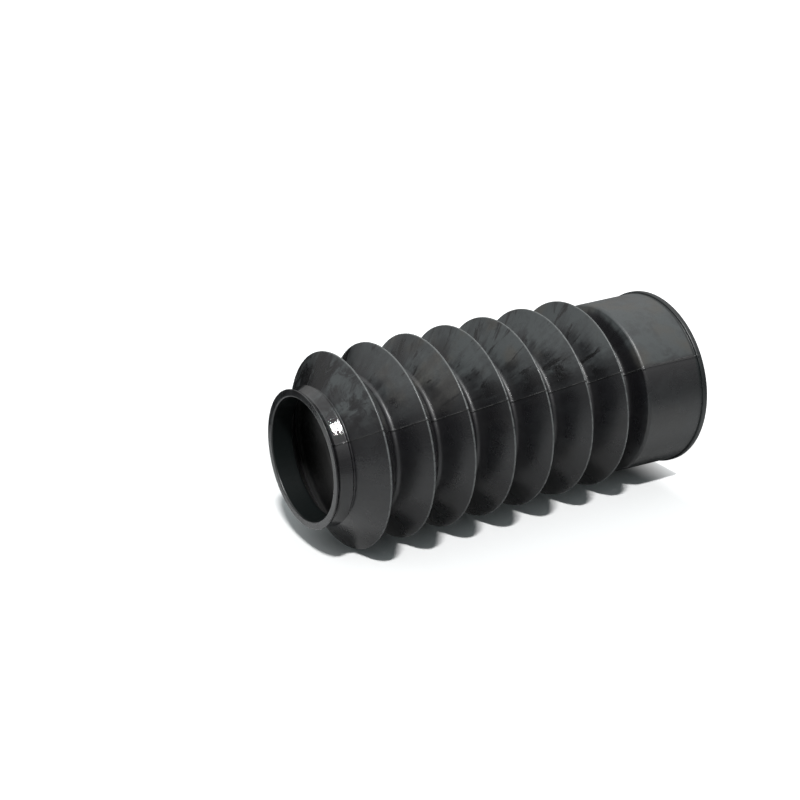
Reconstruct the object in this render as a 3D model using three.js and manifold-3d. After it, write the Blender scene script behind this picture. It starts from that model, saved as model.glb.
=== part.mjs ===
// Fork gaiter: the moulded rubber bellows that keeps dirt off a motorcycle's fork leg.
// One piece: a wide cuff, a row of folds, and a narrow neck with a seat for its clamp.
// Millimetres, +Z up along the bellows. It stands on the wide cuff, and the origin is
// the centre of that cuff's ring face.
import * as THREE from "three";
import { mergeVertices } from "three/addons/utils/BufferGeometryUtils.js";
import Module from "manifold-3d";

// Folds
const foldCount = 7;
const foldPitch = 18.92; // from crest to crest along the axis
const crestRadius = 40; // outside, on top of the rounded crest
const rootRadius = 27.6; // outside, at the bottom of the rounded groove
const crestRound = 0.8;
const rootRound = 1.9;
const foldWall = 1.8; // square to the flank
const insideCrestRound = 0.7;
const insideRootRound = 2.4;

// Wide cuff, at the bottom
const cuffLength = 30.6; // from the ring face to the shoulder
const cuffMouthRadius = 37.2; // outside, just above the bead
const cuffShoulderRadius = 36.8; // outside, at the shoulder
const cuffWall = 2.4;
const shoulderRise = 4.3; // from the shoulder to the groove under the first fold
const shoulderRound = 2.4;
const beadWidth = 2.2;
const beadStep = 0.75; // how far the bead stands proud of the cuff
const beadRound = 0.7;
const beadGroove = 0.3; // depth of the nick that sets the bead off

// Neck, at the top
const neckRadius = 26.9; // outside, beside the lip, where the clamp's seat is lowest
const neckLength = 8.3; // from the top fold's cone to the end
const neckConeRise = 8.6; // from the top crest to the foot of the neck
const neckWall = 1.9;
const neckFootRound = 0.35;
const footGroove = 1.7; // width of the nick between the cone and the seat's edge
const seatFlare = 2; // how far the seat rises from the lip to that edge
const seatEdgeRound = 0.25;
const seatRound = 2.5;
const lipWidth = 1;
const lipStep = 1.4; // how far the lip stands proud of the seat
const lipRound = 0.45;
const mouthRound = 0.6;
const insideNeckRound = 5; // where the bore opens into the first cone

// Flash that the two halves of the mould leave along the outside
const flashWidth = 0.5;
const flashHeight = 0.25;
const flashSeat = 0.6; // how deep its foot sits in the wall

const turns = 48; // facets round the axis
const roundSteps = 2; // chords in an outside round
const insideRoundSteps = 1; // chords in an inside round

const rubber = new THREE.MeshStandardMaterial({
  color: 0x1d1f20,
  roughness: 0.55,
  metalness: 0,
});

// Heights that follow from the sizes above
const firstRootZ = cuffLength + shoulderRise;
const firstCrestZ = firstRootZ + foldPitch / 2;
const topCrestZ = firstCrestZ + (foldCount - 1) * foldPitch;
const neckFootZ = topCrestZ + neckConeRise;
const overallLength = neckFootZ + neckLength;

// A corner of the section: r from the axis, z up, and the radius that rounds it.
const corner = (r, z, round = 0) => ({ at: new THREE.Vector2(r, z), round });

// How far a round of this radius pulls its apex back from the sharp corner of a fold.
// The flank's lean depends on the sharp corners, so it is found by repeating.
function sharpFoldRadii() {
  let crest = crestRadius;
  let root = rootRadius;
  for (let pass = 0; pass < 20; pass += 1) {
    const halfAngle = Math.atan2(foldPitch / 2, crest - root);
    const pullBack = 1 / Math.sin(halfAngle) - 1;
    crest = crestRadius + crestRound * pullBack;
    root = rootRadius - rootRound * pullBack;
  }
  return { crest, root };
}

// The outer faces of the wall from the cuff to the neck, without bead and lip.
function outerFaces() {
  const sharp = sharpFoldRadii();
  const faces = [
    corner(cuffMouthRadius, 0),
    corner(cuffShoulderRadius, cuffLength, shoulderRound),
    corner(sharp.root, firstRootZ, rootRound),
  ];
  for (let fold = 0; fold < foldCount; fold += 1) {
    const crestZ = firstCrestZ + fold * foldPitch;
    faces.push(corner(sharp.crest, crestZ, crestRound));
    if (fold < foldCount - 1)
      faces.push(corner(sharp.root, crestZ + foldPitch / 2, rootRound));
  }
  faces.push(corner(neckRadius, neckFootZ, neckFootRound));
  faces.push(corner(neckRadius, overallLength));
  return faces;
}

// The outside of the section, from the ring face up: bead, faces, seat, lip.
function outerCorners(faces) {
  const bead = cuffMouthRadius + beadStep;
  const lip = neckRadius + lipStep;
  const lipZ = overallLength - lipWidth;
  return [
    corner(bead, 0, beadRound),
    corner(bead, beadWidth, beadRound),
    corner(cuffMouthRadius - beadGroove, beadWidth),
    corner(cuffMouthRadius, beadWidth + beadGroove),
    ...faces.slice(1, -1),
    corner(neckRadius, neckFootZ + footGroove / 2),
    corner(neckRadius + seatFlare, neckFootZ + footGroove, seatEdgeRound),
    corner(neckRadius, lipZ - lipStep, seatRound),
    corner(lip, lipZ, lipRound),
    corner(lip, overallLength, lipRound),
  ];
}

// Where the line through a and b meets the line through c and d.
function meet(a, b, c, d) {
  const along = b.clone().sub(a);
  const other = d.clone().sub(c);
  const share = c.clone().sub(a).cross(other) / along.cross(other);
  return a.clone().addScaledVector(along, share);
}

// The face from a to b moved in by the wall, towards the axis.
function insetFace(a, b, wall) {
  const along = b.clone().sub(a).normalize();
  const inward = new THREE.Vector2(-along.y, along.x).multiplyScalar(wall);
  return [a.clone().add(inward), b.clone().add(inward)];
}

// The inside of the section, from the mouth of the neck down: each face moved in by its wall.
function innerCorners(faces) {
  const last = faces.length - 2;
  const inset = faces.slice(0, -1).map((face, i) => {
    const wall = i === 0 ? cuffWall : i === last ? neckWall : foldWall;
    return insetFace(face.at, faces[i + 1].at, wall);
  });
  const corners = [corner(inset[0][0].x, 0)];
  for (let i = 1; i < inset.length; i += 1) {
    const at = meet(...inset[i - 1], ...inset[i]);
    const crest = i === 1 || faces[i].at.x > faces[i - 1].at.x;
    const root = i === last ? insideNeckRound : insideRootRound;
    corners.push(corner(at.x, at.y, crest ? insideCrestRound : root));
  }
  corners.push(corner(neckRadius - neckWall, overallLength, mouthRound));
  return corners.reverse();
}

// The points of the arc that rounds one corner and touches both of its sides.
function arcAt(before, { at, round }, after, steps) {
  const back = before.at.clone().sub(at);
  const on = after.at.clone().sub(at);
  const room = Math.min(back.length(), on.length()) / 2;
  back.normalize();
  on.normalize();
  const half = Math.acos(THREE.MathUtils.clamp(back.dot(on), -1, 1)) / 2;
  const reach = Math.min(round / Math.tan(half), room);
  if (reach === 0) return [at.clone()];
  const middle = back.clone().add(on).normalize();
  const centre = at.clone().addScaledVector(middle, reach / Math.cos(half));
  const start = at.clone().addScaledVector(back, reach).sub(centre);
  const end = at.clone().addScaledVector(on, reach).sub(centre);
  const sweep = Math.atan2(start.cross(end), start.dot(end));
  const origin = new THREE.Vector2();
  return Array.from({ length: steps + 1 }, (_, k) =>
    start.clone().rotateAround(origin, (sweep * k) / steps).add(centre),
  );
}

// The outline of the wall's section, and the stretch of it that is the outside.
function sectionOutline() {
  const faces = outerFaces();
  const outside = outerCorners(faces);
  const ring = [...outside, ...innerCorners(faces)];
  const arcs = ring.map((here, i) => {
    const steps = i < outside.length ? roundSteps : insideRoundSteps;
    return arcAt(ring.at(i - 1), here, ring[(i + 1) % ring.length], steps);
  });
  return { whole: arcs.flat(), outside: arcs.slice(0, outside.length).flat() };
}

// The section turned about the axis.
function bellowsShape(outline) {
  const closed = [...outline, outline[0]];
  return new THREE.LatheGeometry(closed, turns).rotateX(Math.PI / 2);
}

// A thin fin that follows the outside and stands proud of it by the flash's height.
function flashShape(outside) {
  const last = outside.length - 1;
  const shifted = (distance) =>
    outside.map((point, i) => {
      const on = outside[Math.min(i + 1, last)];
      const back = outside[Math.max(i - 1, 0)];
      const along = on.clone().sub(back).normalize();
      const outward = new THREE.Vector2(along.y, -along.x);
      const moved = point.clone().addScaledVector(outward, distance);
      return moved.setY(THREE.MathUtils.clamp(moved.y, 0, overallLength));
    });
  const outline = [...shifted(flashHeight), ...shifted(-flashSeat).reverse()];
  const yAxis = new THREE.Vector3(0, 1, 0);
  const zAxis = new THREE.Vector3(0, 0, 1);
  const xAxis = new THREE.Vector3(1, 0, 0);
  return new THREE.ExtrudeGeometry(new THREE.Shape(outline), {
    depth: flashWidth,
    bevelEnabled: false,
  })
    .translate(0, 0, -flashWidth / 2)
    .applyMatrix4(new THREE.Matrix4().makeBasis(yAxis, zAxis, xAxis));
}

const wasm = await Module();
wasm.setup();

// A closed geometry as a solid that can be joined to another.
function solidOf(geometry) {
  geometry.deleteAttribute("normal");
  geometry.deleteAttribute("uv");
  const merged = mergeVertices(geometry, 1e-4);
  return new wasm.Manifold(
    new wasm.Mesh({
      numProp: 3,
      vertProperties: merged.attributes.position.array,
      triVerts: new Uint32Array(merged.index.array),
    }),
  );
}

// A solid as a geometry with flat normals.
function geometryOf(solid) {
  const mesh = solid.getMesh();
  const position = new THREE.BufferAttribute(mesh.vertProperties, mesh.numProp);
  const geometry = new THREE.BufferGeometry()
    .setAttribute("position", position)
    .setIndex(new THREE.BufferAttribute(mesh.triVerts, 1));
  geometry.computeVertexNormals();
  return geometry;
}

// The bellows with the flash joined on along both parting lines.
function gaiterGeometry() {
  const { whole, outside } = sectionOutline();
  const front = flashShape(outside);
  const rear = front.clone().rotateZ(Math.PI);
  return geometryOf(
    solidOf(bellowsShape(whole)).add(solidOf(front)).add(solidOf(rear)),
  );
}

const gaiter = new THREE.Mesh(gaiterGeometry(), rubber);
gaiter.name = "gaiter";

const forkGaiter = new THREE.Group();
forkGaiter.add(gaiter);

export default forkGaiter;
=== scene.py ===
import math
from types import SimpleNamespace

import bmesh
import bpy
from mathutils import Matrix, Vector


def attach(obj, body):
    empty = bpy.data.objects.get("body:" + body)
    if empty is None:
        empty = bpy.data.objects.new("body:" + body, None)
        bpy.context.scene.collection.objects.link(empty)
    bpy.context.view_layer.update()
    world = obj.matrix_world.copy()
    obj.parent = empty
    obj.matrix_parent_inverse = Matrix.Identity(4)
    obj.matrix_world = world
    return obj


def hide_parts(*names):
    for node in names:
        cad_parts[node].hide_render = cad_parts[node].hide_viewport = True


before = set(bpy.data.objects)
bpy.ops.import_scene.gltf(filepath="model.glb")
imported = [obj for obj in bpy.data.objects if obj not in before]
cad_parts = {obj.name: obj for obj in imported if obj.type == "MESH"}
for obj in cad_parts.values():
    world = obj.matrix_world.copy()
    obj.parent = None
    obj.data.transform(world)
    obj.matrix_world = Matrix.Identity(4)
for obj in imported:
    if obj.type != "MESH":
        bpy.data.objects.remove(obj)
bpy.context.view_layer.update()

# Sizes are in millimetres, as in the part's source, and Blender's scene is in metres
MM = 0.001
TOUCHING = 1e-7

# Folds, measured up from the wide cuff's ring face
CREST_HEIGHTS = (44.4, 62.7, 82.3, 100.8, 119.6, 138.4, 157.9)
CREST_RADIUS = 40.0
CREST_LAND = 0.45
CREST_ROUND = 0.25
ROOT_RADII = (27.0, 27.0, 27.0, 27.1, 28.3, 28.6)
ROOT_ROUND = 1.7
FOLD_WALL = 1.8
INSIDE_CREST_ROUND = 0.8
INSIDE_ROOT_ROUND = 2.6
INSIDE_NECK_ROUND = 0.8
TOP_CREST = CREST_HEIGHTS[-1]
MEAN_PITCH = (TOP_CREST - CREST_HEIGHTS[0]) / (len(CREST_HEIGHTS) - 1)

# Wide cuff
CUFF_LENGTH = 30.6
CUFF_MOUTH_RADIUS = 37.2
CUFF_SHOULDER_RADIUS = 36.8
CUFF_WALL = 2.4
CUFF_MOUTH_ROUND = 0.5
SHOULDER_RISE = 4.3
SHOULDER_ROUND = 1.6
FIRST_ROOT_RADIUS = 27.4
BEAD_WIDTH = 2.5
BEAD_STEP = 0.75
BEAD_ROUND = 0.75
BEAD_NICK = 0.45

# Neck
NECK_RADIUS = 26.4
NECK_LENGTH = 8.3
NECK_WALL = 1.4
CONE_RISE = 8.6
LIP_WIDTH = 0.5
LIP_STEP = 1.7
LIP_ROUND = 0.25
MOUTH_ROUND = 0.6
SEAT_FLARE = 2.0
SEAT_ROUND = 3.0
FOOT_RADIUS = 27.5
FOOT_GROOVE = 1.3
NECK_FOOT = TOP_CREST + CONE_RISE
OVERALL_LENGTH = NECK_FOOT + NECK_LENGTH

# The mould's parting lines lie at +Y and -Y
FLASH_WIDTH = 0.24
FLASH_HEIGHT = 0.1
PLAIN_STEPS = 140
FLASH_STEPS = 2

# How far the wide cuff has settled towards the table, at its shoulder and at its end
SHOULDER_SETTLE = 0.6
END_SETTLE = 1.0

# In the photograph the piece lies on a table that touches its crests on this side
TABLE_TURN = math.radians(58)
TABLE_UP = Vector((math.sin(TABLE_TURN), -math.cos(TABLE_TURN), 0))
TOWARDS_CAMERA = Vector((-math.cos(TABLE_TURN), -math.sin(TABLE_TURN), 0))
TOWARDS_NECK = Vector((0, 0, 1))
MIDDLE_HEIGHT = 90.0

CAMERA_PLACE = Vector((-51.470, -599.563, 461.475)) * MM
CAMERA_AIM = Vector((13.809, -1.507, 125.769)) * MM
CAMERA_LENS = 76.71
CAMERA_SENSOR = 36


def in_photo(up, near, right):
    """A direction by the photograph: up from its table, towards the camera, towards the wide cuff."""
    return TABLE_UP * up + TOWARDS_CAMERA * near - TOWARDS_NECK * right


def facing(direction, up):
    """The turn that points an object's own +Z along the direction, with its +Y towards up."""
    back = direction.normalized()
    side = up.cross(back).normalized()
    return Matrix((side, back.cross(side), back)).transposed().to_euler()


def deselect_all():
    if bpy.context.object and bpy.context.object.mode != "OBJECT":
        bpy.ops.object.mode_set(mode="OBJECT")
    bpy.ops.object.select_all(action="DESELECT")


def corner(r, z, rounding=0.0, steps=6):
    """A corner of the wall's section, with the radius that rounds it."""
    return {"at": Vector((r, z)), "round": rounding, "steps": steps}


def sharp_root_radius(root_radius):
    """The radius of a groove's sharp corner, from which its round cuts back to the true one."""
    half_pitch = (MEAN_PITCH - CREST_LAND) / 2
    root = root_radius
    for _ in range(20):
        pull_back = 1 / math.sin(math.atan2(half_pitch, CREST_RADIUS - root)) - 1
        root = root_radius - ROOT_ROUND * pull_back
    return root


def outer_faces():
    """The outer faces of the wall from the cuff to the neck, without bead and lip."""
    first_root = sharp_root_radius(FIRST_ROOT_RADIUS)
    faces = [
        corner(CUFF_MOUTH_RADIUS, 0),
        corner(CUFF_SHOULDER_RADIUS, CUFF_LENGTH, SHOULDER_ROUND, 8),
        corner(first_root, CUFF_LENGTH + SHOULDER_RISE, ROOT_ROUND, 7),
    ]
    for here, above, root in zip(CREST_HEIGHTS, CREST_HEIGHTS[1:], ROOT_RADII):
        faces.append(corner(CREST_RADIUS, here))
        faces.append(corner(sharp_root_radius(root), (here + above) / 2, ROOT_ROUND, 7))
    faces.append(corner(CREST_RADIUS, TOP_CREST))
    faces.append(corner(NECK_RADIUS, NECK_FOOT))
    faces.append(corner(NECK_RADIUS, OVERALL_LENGTH))
    return faces


def outer_corners(faces):
    """The outside of the section from the ring face up: bead, faces, seat, lip."""
    bead = CUFF_MOUTH_RADIUS + BEAD_STEP
    lip = NECK_RADIUS + LIP_STEP
    lip_foot = OVERALL_LENGTH - LIP_WIDTH
    corners = [
        corner(bead, 0, BEAD_ROUND),
        corner(bead, BEAD_WIDTH, BEAD_ROUND),
        corner(CUFF_MOUTH_RADIUS - BEAD_NICK, BEAD_WIDTH),
        corner(CUFF_MOUTH_RADIUS, BEAD_WIDTH + BEAD_NICK, 0.2, 2),
    ]
    for face in faces[1:-2]:
        if face["at"].x < CREST_RADIUS:
            corners.append(face)
            continue
        for side in (-1, 1):
            edge = face["at"].y + side * CREST_LAND / 2
            corners.append(corner(CREST_RADIUS, edge, CREST_ROUND, 4))
    return corners + [
        corner(FOOT_RADIUS, NECK_FOOT, 0.2, 2),
        corner(FOOT_RADIUS, NECK_FOOT + FOOT_GROOVE / 2, 0.3, 2),
        corner(NECK_RADIUS + SEAT_FLARE, NECK_FOOT + FOOT_GROOVE, 0.25, 4),
        corner(NECK_RADIUS, lip_foot - LIP_STEP, SEAT_ROUND, 8),
        corner(lip, lip_foot, 0.2, 3),
        corner(lip, OVERALL_LENGTH, LIP_ROUND, 5),
    ]


def meet(first, second):
    """The point where two lines, each given by two of its points, meet."""
    (a, b), (c, d) = first, second
    along, other = b - a, d - c
    share = (c - a).cross(other) / along.cross(other)
    return a + along * share


def inset(a, b, wall):
    """The line from a to b moved in by the wall, towards the axis."""
    along = (b - a).normalized()
    inward = Vector((-along.y, along.x)) * wall
    return a + inward, b + inward


def inner_corners(faces):
    """The inside of the section from the neck's mouth down: each face moved in by its wall."""
    walls = [CUFF_WALL] + [FOLD_WALL] * (len(faces) - 3) + [NECK_WALL]
    lines = [inset(a["at"], b["at"], w) for a, b, w in zip(faces, faces[1:], walls)]
    corners = [corner(lines[0][0].x, 0, CUFF_MOUTH_ROUND, 3)]
    for i in range(1, len(lines)):
        at = meet(lines[i - 1], lines[i])
        if i == 1 or faces[i]["at"].x > faces[i - 1]["at"].x:
            corners.append(corner(at.x, at.y, INSIDE_CREST_ROUND, 4))
        elif i == len(lines) - 1:
            corners.append(corner(at.x, at.y, INSIDE_NECK_ROUND, 6))
        else:
            corners.append(corner(at.x, at.y, INSIDE_ROOT_ROUND, 4))
    corners.append(corner(NECK_RADIUS - NECK_WALL, OVERALL_LENGTH, MOUTH_ROUND, 4))
    return corners[::-1]


def in_plane(at):
    """A section point as a place in the plane y = 0, in metres."""
    return Vector((at.x * MM, 0, at.y * MM))


def select_verts(piece, wanted):
    """In edit mode, selects just the vertices that the test wants."""
    mesh = bmesh.from_edit_mesh(piece.data)
    mesh.verts.index_update()
    for v in mesh.verts:
        v.select_set(wanted(v))
    mesh.select_flush(False)


def draw_outline(name, corners):
    """Draws the section's closed outline corner by corner, and stays in edit mode."""
    deselect_all()
    bpy.ops.mesh.primitive_plane_add(size=MM, location=(0, 0, 0))
    piece = bpy.context.object
    piece.name = piece.data.name = name
    bpy.ops.object.mode_set(mode="EDIT")
    bpy.context.tool_settings.mesh_select_mode = (True, False, False)
    bpy.ops.mesh.select_all(action="SELECT")
    bpy.ops.mesh.merge(type="CENTER")
    places = [in_plane(c["at"]) for c in corners]
    bpy.ops.transform.translate(value=places[0])
    for here, there in zip(places, places[1:]):
        bpy.ops.mesh.extrude_vertices_move(TRANSFORM_OT_translate={"value": there - here})
    ends = (places[0], places[-1])
    select_verts(piece, lambda v: min((v.co - end).length for end in ends) < TOUCHING)
    bpy.ops.mesh.edge_face_add()
    return piece


def mark_outside(piece, count):
    """Groups the outline's first corners, which are the outside's; their rounds stay in the group."""
    select_verts(piece, lambda v: v.index < count)
    bpy.ops.object.vertex_group_assign_new()
    piece.vertex_groups[-1].name = "outside"


def round_corners(piece, corners):
    for i, c in enumerate(corners):
        if not c["round"]:
            continue
        back = corners[i - 1]["at"] - c["at"]
        on = corners[(i + 1) % len(corners)]["at"] - c["at"]
        reach = c["round"] / math.tan(back.angle(on) / 2)
        reach = min(reach, 0.49 * min(back.length, on.length))
        place = in_plane(c["at"])
        select_verts(piece, lambda v: (v.co - place).length < TOUCHING)
        bpy.ops.mesh.bevel(offset=reach * MM, segments=c["steps"], affect="VERTICES")


def turn_section():
    """Turns the outline about the axis, with close steps where the mould's halves meet."""
    strip = FLASH_WIDTH / CREST_RADIUS
    bpy.ops.mesh.select_all(action="SELECT")
    quarter = (math.pi / 2 - strip / 2, PLAIN_STEPS // 2)
    half = (math.pi - strip, PLAIN_STEPS)
    for angle, steps in (quarter, (strip, FLASH_STEPS), half, (strip, FLASH_STEPS), quarter):
        bpy.ops.mesh.spin(steps=steps, angle=angle, center=(0, 0, 0), axis=(0, 0, 1))
    bpy.ops.mesh.select_all(action="SELECT")
    bpy.ops.mesh.remove_doubles(threshold=2e-6)
    bpy.ops.mesh.normals_make_consistent(inside=False)


def near_parting_line(co):
    """Whether a point lies in the strip along either parting line."""
    return abs(co.x) < FLASH_WIDTH * math.hypot(co.x, co.y) / CREST_RADIUS / 2 * 1.02


def raise_flash(piece):
    """Draws the strips along the parting lines out into a fine ridge that ends at the ring faces."""
    group = piece.vertex_groups["outside"].index
    mesh = bmesh.from_edit_mesh(piece.data)
    weights = mesh.verts.layers.deform.verify()
    top = max(v.co.z for v in mesh.verts)
    bpy.context.tool_settings.mesh_select_mode = (False, False, True)
    bpy.ops.mesh.select_all(action="DESELECT")
    for face in mesh.faces:
        face.select_set(all(group in v[weights] and near_parting_line(v.co) for v in face.verts))
    bmesh.update_edit_mesh(piece.data)
    bpy.ops.mesh.extrude_region_shrink_fatten(
        TRANSFORM_OT_shrink_fatten={"value": FLASH_HEIGHT * MM}
    )
    for level, beyond in ((0, lambda v: v.co.z < 0), (top, lambda v: v.co.z > top)):
        bpy.context.tool_settings.mesh_select_mode = (True, False, False)
        select_verts(piece, beyond)
        bpy.ops.transform.resize(value=(1, 1, 0), center_override=(0, 0, level))


def settle_cuff(piece):
    """Lets the wide cuff lean a little towards the table, as soft rubber does that lay on it."""
    first_crest = CREST_HEIGHTS[0]
    for v in piece.data.vertices:
        z = v.co.z / MM
        if z >= first_crest:
            continue
        lean = min(1, (first_crest - z) / (first_crest - CUFF_LENGTH))
        lean = lean * lean * (3 - 2 * lean)
        settle = SHOULDER_SETTLE * lean
        if z < CUFF_LENGTH:
            settle += (END_SETTLE - SHOULDER_SETTLE) * (1 - z / CUFF_LENGTH)
        v.co -= TABLE_UP * settle * MM


def make_gaiter():
    faces = outer_faces()
    outside = outer_corners(faces)
    corners = outside + inner_corners(faces)
    piece = draw_outline("rubber_gaiter", corners)
    mark_outside(piece, len(outside))
    round_corners(piece, corners)
    turn_section()
    raise_flash(piece)
    bpy.ops.object.mode_set(mode="OBJECT")
    settle_cuff(piece)
    bpy.ops.object.shade_smooth()
    bpy.ops.object.modifier_add(type="WEIGHTED_NORMAL")
    piece.modifiers["WeightedNormal"].keep_sharp = True
    bpy.ops.object.modifier_apply(modifier="WeightedNormal")
    piece.data.materials.append(rubber_finish())
    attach(piece, "root")
    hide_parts("gaiter")


class Nodes:
    """A node tree being built: its nodes are added one after another and linked by socket."""

    def __init__(self, owner, output_kind):
        owner.use_nodes = True
        self.owner = owner
        self.tree = owner.node_tree
        self.tree.nodes.clear()
        self.output = self.node(output_kind)

    def node(self, kind, inputs=None, **settings):
        made = self.tree.nodes.new(kind)
        for key, value in settings.items():
            setattr(made, key, value)
        for key, value in (inputs or {}).items():
            self.feed(made.inputs[key], value)
        return made

    def feed(self, socket, value):
        if isinstance(value, bpy.types.NodeSocket):
            self.tree.links.new(value, socket)
        else:
            socket.default_value = value

    def show(self, shader):
        self.feed(self.output.inputs["Surface"], shader.outputs[0])
        return self.owner

    def math(self, operation, a, b=0.0, clamp=False):
        made = self.node("ShaderNodeMath", {0: a, 1: b}, operation=operation, use_clamp=clamp)
        return made.outputs[0]

    def add(self, a, b):
        return self.math("ADD", a, b)

    def product(self, first, *rest):
        for factor in rest:
            first = self.math("MULTIPLY", first, factor)
        return first

    def vector(self, operation, a, b=(0, 0, 0), output="Vector", **extra):
        made = self.node("ShaderNodeVectorMath", {0: a, 1: b, **extra}, operation=operation)
        return made.outputs[output]

    def split(self, vector):
        return self.node("ShaderNodeSeparateXYZ", {0: vector}).outputs

    def join(self, x=0.0, y=0.0, z=0.0):
        return self.node("ShaderNodeCombineXYZ", {"X": x, "Y": y, "Z": z}).outputs[0]

    def noise(self, vector, scale, detail=4.0, roughness=0.55, distortion=0.0):
        settings = {"Vector": vector, "Scale": scale, "Detail": detail}
        settings.update({"Roughness": roughness, "Distortion": distortion})
        return self.node("ShaderNodeTexNoise", settings).outputs["Fac"]

    def fade(self, value, low, high, to_low=0.0, to_high=1.0):
        ends = {"From Min": low, "From Max": high, "To Min": to_low, "To Max": to_high}
        made = self.node("ShaderNodeMapRange", {"Value": value, **ends}, interpolation_type="SMOOTHSTEP")
        return made.outputs["Result"]

    def blend(self, share, first, second):
        """Two colours blended; a Mix node's colour sockets are its sixth and seventh."""
        made = self.node("ShaderNodeMix", data_type="RGBA")
        for index, value in ((0, share), (6, first), (7, second)):
            self.feed(made.inputs[index], value)
        return made.outputs[2]

    def mix(self, share, first, second):
        made = self.node("ShaderNodeMix", {0: share, 2: first, 3: second}, data_type="FLOAT")
        return made.outputs[0]


def new_material(name):
    return Nodes(bpy.data.materials.new(name), "ShaderNodeOutputMaterial")


# Black of the grease marks, also used for the painted shadow below the flash
GREASE_AND_SHADOW_BLACK = (0.003, 0.003, 0.0033, 1)
BARE_RUBBER = (0.0055, 0.0052, 0.0062, 1)
# Bloom colours, laid on most where the light falls, so partly painted light
GREY_BLOOM_AND_LIGHT = (0.037, 0.042, 0.043, 1)
BROWN_BLOOM_AND_LIGHT = (0.041, 0.04, 0.036, 1)
DUSTY_RIDGE = (0.05, 0.05, 0.05, 1)
# Painted highlight along the crests' edges
CREST_PAINTED_HIGHLIGHT = (0.1, 0.105, 0.105, 1)
BEAD_BLACK = (0.0035, 0.0055, 0.006, 1)
# Near black painted shade deep inside
INSIDE_SHADE_BLACK = (0.0008, 0.0008, 0.001, 1)
BORE_BLACK = (0.0045, 0.006, 0.006, 1)

BARE_ROUGHNESS = 0.27
BLOOM_ROUGHNESS = 0.42
POLISHED_ROUGHNESS = 0.06
INSIDE_ROUGHNESS = 0.33
VALLEY_ROUGHNESS = 0.9

# Greasy marks on the outside: place and reach in millimetres, and how strongly each shows
GREASY_MARKS = (
    ((29, -12, 163), 17, 1.0),
    ((33, 6, 162), 12, 1.0),
    ((12, -28, 163), 10, 0.8),
    ((24, -20, 162), 8, 1.0),
    ((33, -13, 123), 9, 0.8),
    ((37, 4, 141), 9, 0.8),
    ((36, 8, 122), 9, 0.8),
    ((35, 12, 103), 8, 0.7),
    ((35, 12, 84), 7, 0.7),
    ((8, -33, 68), 9, 0.9),
    ((8, -31, 50), 11, 0.9),
    ((4, -36, 85), 8, 0.7),
    ((4, -36, 104), 7, 0.6),
    ((-2, -37, 16), 8, 0.5),
    ((-10, 38, 60), 16, 0.6),
)


def read_place(m):
    """Where a point of the rubber lies, in millimetres, and the noises that its finish shares."""
    coordinates = m.node("ShaderNodeTexCoord").outputs
    p = SimpleNamespace()
    p.at = m.vector("SCALE", coordinates["Object"], Scale=1 / MM)
    p.x, y, p.z = m.split(p.at)
    flat = m.join(p.x, y)
    outward = m.vector("NORMALIZE", flat)
    p.out_x = m.split(outward)[0]
    p.r = m.vector("LENGTH", flat, output="Value")
    faces_out = m.vector("DOT_PRODUCT", coordinates["Normal"], outward, output="Value")
    p.inside = m.fade(faces_out, -0.25, -0.5)
    p.cuff = m.fade(p.z, CUFF_LENGTH + 1.9, CUFF_LENGTH - 0.1)

    # Streaks run up and down the flanks, so they change fast around the piece and slowly along it
    around = m.vector("SCALE", outward, Scale=CREST_RADIUS)
    slowly = m.add(m.product(p.z, 0.12), m.product(p.r, 0.3))
    p.streak_at = m.vector("ADD", around, m.join(z=slowly))
    p.streak = m.noise(p.streak_at, 0.42, 5, 0.65)
    p.wide_streak = m.noise(p.streak_at, 0.12, 4, 0.6)
    p.cloud = m.noise(p.at, 0.06, 5, 0.62, 0.5)
    return p


def greasy_marks(m, p):
    """Ragged patches, dark and smooth, and faint ones on the upper half of the folds."""
    share_of_streaks = m.vector("SCALE", p.streak_at, Scale=0.7)
    marble_at = m.vector("ADD", share_of_streaks, m.vector("SCALE", p.at, Scale=0.5))
    marble = m.noise(marble_at, 0.12, 6, 0.66, 0.9)
    marks = 0.0
    for place, reach, strength in GREASY_MARKS:
        away = m.vector("DISTANCE", p.at, place, output="Value")
        marks = m.math("MAXIMUM", marks, m.fade(away, reach, reach * 0.35, 0.0, strength))
    strong = m.product(marks, m.fade(marble, 0.45, 0.57), m.fade(p.out_x, -0.15, 0.15))
    folds = m.math("SUBTRACT", 1.0, p.cuff)
    faint = m.product(m.fade(marble, 0.57, 0.63), m.fade(p.out_x, -0.1, 0.3), folds, 0.7)
    return m.math("MAXIMUM", strong, faint)


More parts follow.
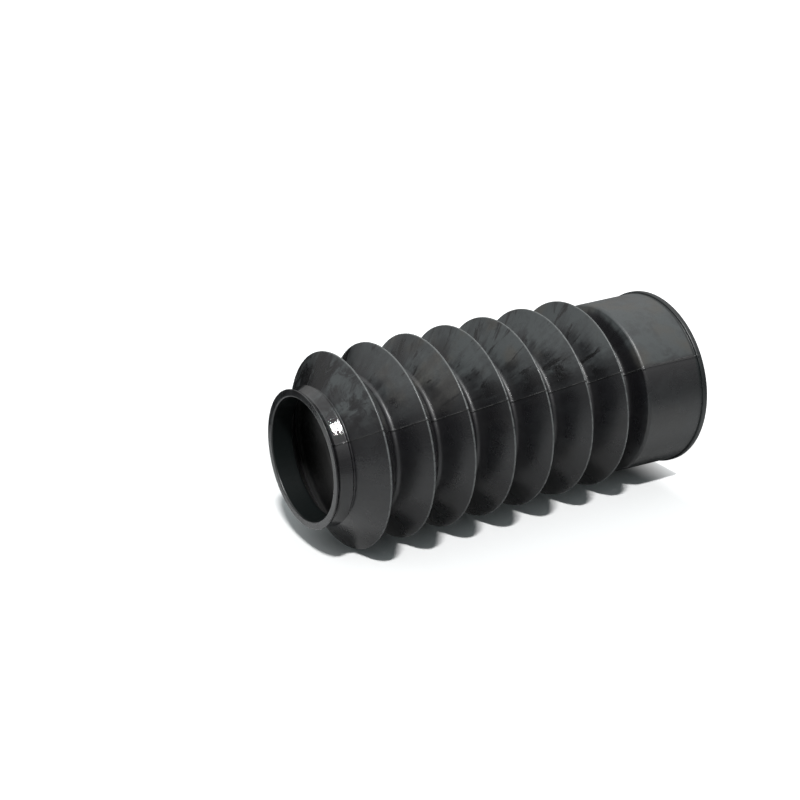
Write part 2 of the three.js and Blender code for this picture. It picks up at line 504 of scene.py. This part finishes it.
def paint_bloom_and_light(m, p, grease):
    """The dull pale bloom, partly painted light: full on the upper half, where the light falls, thin
    below the parting line, paler low on the cuff as a painted reflection, with painted shade in grooves
    and above the shoulder.
    """
    half = m.add(p.out_x, m.fade(p.streak, 0.3, 0.7, -0.012, 0.02))
    fringe = m.add(p.out_x, m.fade(p.cloud, 0.35, 0.65, -0.15, 0.15))
    # Painted light: the film is full on the upper half, which faces the light, and thin below it
    on_folds = m.fade(half, -0.03, 0.5, 0.1, 1.0)
    # Low on the cuff, the fringe that grows paler further below the parting line is a painted reflection
    # of the table
    on_cuff = m.add(m.fade(half, -0.01, 0.05, 0.0, 0.88), m.fade(fringe, -0.12, -0.3, 0.04, 0.2))
    # Painted shade in the groove between the cuff's shoulder and the first fold
    past_shoulder = m.fade(p.z, CUFF_LENGTH + 0.6, CUFF_LENGTH + 1.6)
    shade_above_shoulder = m.product(past_shoulder, m.fade(p.z, CUFF_LENGTH + 8.4, CUFF_LENGTH + 5.9))
    ragged_r = m.add(p.r, m.fade(p.wide_streak, 0.3, 0.7, -4, 4))
    wide_streaks = m.mix(p.cuff, m.fade(p.wide_streak, 0.3, 0.7, 0.8, 1.15), 1.0)
    streaks = m.mix(p.cuff, m.fade(p.streak, 0.2, 0.8, 0.85, 1.15), 1.0)
    speckle = m.noise(p.at, 0.3, 6, 0.75)
    patches = m.noise(p.at, 0.15, 6, 0.72, 0.9)
    top_cone = m.fade(p.z, TOP_CREST - 1.9, TOP_CREST + 2.1)
    # Darker towards the neck, with painted shade darkening it towards the grooves' roots
    bloom_and_light = m.product(
        m.mix(p.cuff, on_folds, on_cuff),
        m.mix(shade_above_shoulder, 1.0, 0.12),
        m.fade(p.z, 170, 60, 0.5, 1.05),
        m.fade(ragged_r, 28, 34, 0.3, 1.0),
        m.fade(p.cloud, 0.3, 0.7, 0.7, 1.25),
        wide_streaks,
        streaks,
        m.fade(speckle, 0.3, 0.7, 0.8, 1.2),
        m.mix(top_cone, m.fade(patches, 0.4, 0.6, 0.82, 1.15), m.fade(patches, 0.43, 0.53, 0.2, 1.6)),
    )
    return m.math("MULTIPLY", bloom_and_light, m.math("SUBTRACT", 1.0, grease), clamp=True)


def rubber_colour(m, p, bloom_and_light, grease):
    hue = m.fade(m.noise(p.at, 0.055, 3, 0.5), 0.52, 0.68)
    # The bloom's amount carries painted light on the upper half and painted shade in the grooves
    colour = m.blend(bloom_and_light, BARE_RUBBER, m.blend(hue, GREY_BLOOM_AND_LIGHT, BROWN_BLOOM_AND_LIGHT))
    colour = m.blend(grease, colour, GREASE_AND_SHADOW_BLACK)

    # The crests' edges carry a pale painted highlight, broken by the streaks
    on_crest = m.fade(p.r, CREST_RADIUS - 0.35, CREST_RADIUS - 0.08)
    colour = m.blend(m.product(on_crest, m.fade(p.streak, 0.3, 0.6, 0.4, 1.0)), colour, CREST_PAINTED_HIGHLIGHT)

    # The flash holds dust, less of it near the neck, and a thin painted shadow runs below it
    flash_shadow = m.product(m.fade(p.x, -0.55, -0.3), m.fade(p.x, 0.3, 0.1))
    colour = m.blend(flash_shadow, colour, GREASE_AND_SHADOW_BLACK)
    dust = m.fade(m.noise(p.at, 0.26, 3, 0.6), 0.4, 0.6, 0.0, 0.8)
    dust = m.product(dust, m.fade(p.z, 160, 145, 0.1, 1.0))
    colour = m.blend(m.fade(m.math("ABSOLUTE", p.x), 0.2, 0.1, 0.0, dust), colour, DUSTY_RIDGE)

    # Inside, deep past the bore, the rubber is painted near black as shade
    bore = m.fade(p.z, NECK_FOOT - 4.5, NECK_FOOT + 1.5)
    colour = m.blend(p.inside, colour, m.blend(bore, INSIDE_SHADE_BLACK, BORE_BLACK))
    return m.blend(m.fade(p.z, BEAD_WIDTH + 1.6, BEAD_WIDTH + 0.9), colour, BEAD_BLACK)


def rubber_roughness(m, p, bloom_and_light, grease):
    """Dull with bloom, smoother where bare or greasy; the neck's seat keeps the mould's polish."""
    dull = m.add(
        m.fade(bloom_and_light, 0.0, 0.8, BARE_ROUGHNESS, BLOOM_ROUGHNESS), m.fade(p.cloud, 0.3, 0.7, -0.03, 0.05)
    )
    in_grooves = m.product(m.fade(p.r, 31, 28, 0.0, 0.15), m.fade(p.z, NECK_FOOT - 1.5, NECK_FOOT - 6.5))
    roughness = m.mix(grease, m.add(dull, in_grooves), BARE_ROUGHNESS)
    above_foot = m.fade(p.z, NECK_FOOT + 1.4, NECK_FOOT + 1.8)
    below_mouth = m.fade(p.z, OVERALL_LENGTH - 0.4, OVERALL_LENGTH - 0.7)
    upper_half = m.fade(p.out_x, -0.02, 0.02, 0.35, 1)
    seat = m.product(above_foot, below_mouth, upper_half, m.fade(p.wide_streak, 0.3, 0.6, 0.75, 1.0))
    roughness = m.mix(seat, roughness, POLISHED_ROUGHNESS)
    within = m.fade(p.r, CREST_RADIUS - 5.5, CREST_RADIUS - 4, INSIDE_ROUGHNESS, VALLEY_ROUGHNESS)
    return m.mix(p.inside, roughness, within)


def rubber_relief(m, p):
    grain = m.noise(p.at, 1.4, 4, 0.7)
    height = m.add(m.product(grain, 0.25), m.product(p.streak, 0.3))
    height = m.add(height, m.product(m.mix(p.cuff, p.wide_streak, p.cloud), 0.8))
    return m.node("ShaderNodeBump", {"Strength": 0.4, "Distance": 0.0004, "Height": height}).outputs[0]


def rubber_finish():
    m = new_material("moulded_black_rubber")
    p = read_place(m)
    grease = greasy_marks(m, p)
    bloom_and_light = paint_bloom_and_light(m, p, grease)
    surface = {
        "Base Color": rubber_colour(m, p, bloom_and_light, grease),
        "Roughness": rubber_roughness(m, p, bloom_and_light, grease),
        "Normal": rubber_relief(m, p),
    }
    return m.show(m.node("ShaderNodeBsdfPrincipled", surface))


WHITE = (1, 1, 1, 1)
CARD_BLACK = (0.02, 0.02, 0.02, 1)


def show_paper(m, shade, glow):
    """White paper that shows only from its front, lit and with a glow of its own."""
    lit = m.node("ShaderNodeBsdfDiffuse", {"Color": m.join(shade, shade, shade)})
    glowing = m.node("ShaderNodeEmission", {"Color": WHITE, "Strength": glow})
    front = m.node("ShaderNodeAddShader", {0: lit.outputs[0], 1: glowing.outputs[0]})
    clear = m.node("ShaderNodeBsdfTransparent")
    behind = m.node("ShaderNodeNewGeometry").outputs["Backfacing"]
    return m.show(m.node("ShaderNodeMixShader", {0: behind, 1: front.outputs[0], 2: clear.outputs[0]}))


def floor_finish():
    return show_paper(new_material("white_floor"), 0.6, 1.0)


def table_finish():
    """White that fades into the background away from the piece and past its wide cuff. The rubber
    reflects it dimly, with painted shade beneath the piece, and most dimly from far away."""
    m = new_material("white_table")
    at = m.node("ShaderNodeTexCoord").outputs["Object"]
    across, along, _ = m.split(at)
    away = m.vector("LENGTH", m.vector("MULTIPLY", at, (1, 0.6, 1)), output="Value")
    past_cuff = m.fade(along, -0.072, -0.102, 0.0, 0.9)
    glow = m.math("MAXIMUM", m.fade(away, 0.05, 0.25, 0.0, 0.5), past_cuff)
    # Painted shade: the reflected table is dimmer beneath the piece
    shade_beneath = m.product(m.fade(m.math("ABSOLUTE", across), 0.065, 0.02), m.fade(along, 0.09, 0.072))
    reflected = m.fade(m.add(away, m.product(shade_beneath, 0.25)), 0.08, 0.35, 0.8, 0.28)
    mirrored = m.node("ShaderNodeLightPath").outputs["Is Glossy Ray"]
    return show_paper(m, m.mix(mirrored, 0.8, reflected), m.mix(mirrored, glow, 0.0))


def card_finish():
    m = new_material("black_card")
    return m.show(m.node("ShaderNodeBsdfDiffuse", {"Color": CARD_BLACK}))


def lay_sheet(name, place, turn, width, height, finish, seen, reflected):
    """A flat sheet near the piece that casts no shadow and lights nothing."""
    deselect_all()
    bpy.ops.mesh.primitive_plane_add(size=width, location=place, rotation=turn)
    sheet = bpy.context.object
    sheet.name = name
    sheet.scale.y = height / width
    sheet.data.materials.append(finish)
    sheet.visible_camera = seen
    sheet.visible_glossy = reflected
    for ray in ("diffuse", "transmission", "volume_scatter", "shadow"):
        setattr(sheet, "visible_" + ray, False)


PAPER_SIZE = 4.0


def lay_papers():
    """White paper under the wide cuff, and the photograph's table beside the crests."""
    upright = facing(TOWARDS_NECK, Vector((0, 1, 0)))
    lay_sheet("floor", (0, 0, 0), upright, PAPER_SIZE, PAPER_SIZE, floor_finish(), True, False)
    beside = (TOWARDS_NECK * MIDDLE_HEIGHT - TABLE_UP * CREST_RADIUS) * MM
    turn = facing(TABLE_UP, TOWARDS_NECK)
    lay_sheet("table", beside, turn, PAPER_SIZE, PAPER_SIZE, table_finish(), True, True)


def hang_cards():
    """Black cards, seen only in what the rubber reflects, that paint dark reflections: one behind the
    neck, which keeps the first folds' tops dark, and one across the open end of the wide cuff, which
    keeps the inside dark."""
    black = card_finish()
    behind = in_photo(-0.05, -0.99, 0)
    place = behind * 0.062 + TABLE_UP * 0.014 + TOWARDS_NECK * 0.215
    turn = facing(-behind, TOWARDS_NECK)
    lay_sheet("neck_card", place, turn, 0.048, 0.17, black, False, True)
    upright = facing(TOWARDS_NECK, Vector((0, 1, 0)))
    lay_sheet("cuff_card", (0, 0, -0.001), upright, 0.05, 0.05, black, False, True)


def hang_lamp(name, direction, distance, size, falls):
    """A soft lamp that looks at the piece; falls is the light that reaches it, square on."""
    data = bpy.data.lights.new(name, "AREA")
    data.shape = "RECTANGLE"
    data.size, data.size_y = size
    data.energy = falls * math.pi * distance * distance
    lamp = bpy.data.objects.new(name, data)
    bpy.context.scene.collection.objects.link(lamp)
    away = direction.normalized()
    lamp.location = TOWARDS_NECK * MIDDLE_HEIGHT * MM + away * distance
    lamp.rotation_euler = away.to_track_quat("Z", "Y").to_euler()


def hang_lamps():
    hang_lamp("key_lamp", in_photo(0.842, 0.421, -0.337), 3.5, (0.16, 0.36), 3.7)
    hang_lamp("top_softbox", in_photo(0.77, -0.08, -0.62), 3.5, (2.0, 2.0), 0.4)
    hang_lamp("under_softbox", in_photo(-0.72, -0.68, -0.1), 3.0, (2.4, 2.4), 1.0)


SKY_LIGHT = 1.3
HORIZON_LIGHT = 0.38
TABLE_LIGHT = 0.7
ROOM_SHARE = 0.28
ROOM_TINT = (0.86, 0.98, 1.0, 1)


def light_room():
    """A white room for the camera, and for reflections one that is bright overhead, dim along the
    horizon and white below; its own light on the piece is only a share of that."""
    world = bpy.data.worlds.new("white_room")
    bpy.context.scene.world = world
    room = Nodes(world, "ShaderNodeOutputWorld")
    direction = room.node("ShaderNodeTexCoord").outputs["Generated"]
    above = room.vector("DOT_PRODUCT", direction, tuple(TABLE_UP), output="Value")
    seen = room.fade(above, 0.12, 0.7, HORIZON_LIGHT, SKY_LIGHT)
    seen = room.mix(room.fade(above, -0.12, -0.35), seen, TABLE_LIGHT)
    rays = room.node("ShaderNodeLightPath").outputs
    strength = room.mix(rays["Is Glossy Ray"], room.product(seen, ROOM_SHARE), seen)
    strength = room.mix(rays["Is Camera Ray"], strength, 1.0)
    plain = room.math("MAXIMUM", rays["Is Camera Ray"], rays["Is Glossy Ray"])
    tint = room.blend(plain, ROOM_TINT, WHITE)
    room.show(room.node("ShaderNodeBackground", {"Strength": strength, "Color": tint}))


def set_camera():
    data = bpy.data.cameras.new("camera")
    data.lens = CAMERA_LENS
    data.sensor_width = CAMERA_SENSOR
    data.clip_start, data.clip_end = 0.01, 100
    camera = bpy.data.objects.new("camera", data)
    bpy.context.scene.collection.objects.link(camera)
    bpy.context.scene.camera = camera
    camera.location = CAMERA_PLACE
    camera.rotation_euler = facing(CAMERA_PLACE - CAMERA_AIM, TABLE_UP)


make_gaiter()
hang_cards()
lay_papers()
hang_lamps()
light_room()
set_camera()
bpy.context.scene.view_settings.view_transform = "Standard"
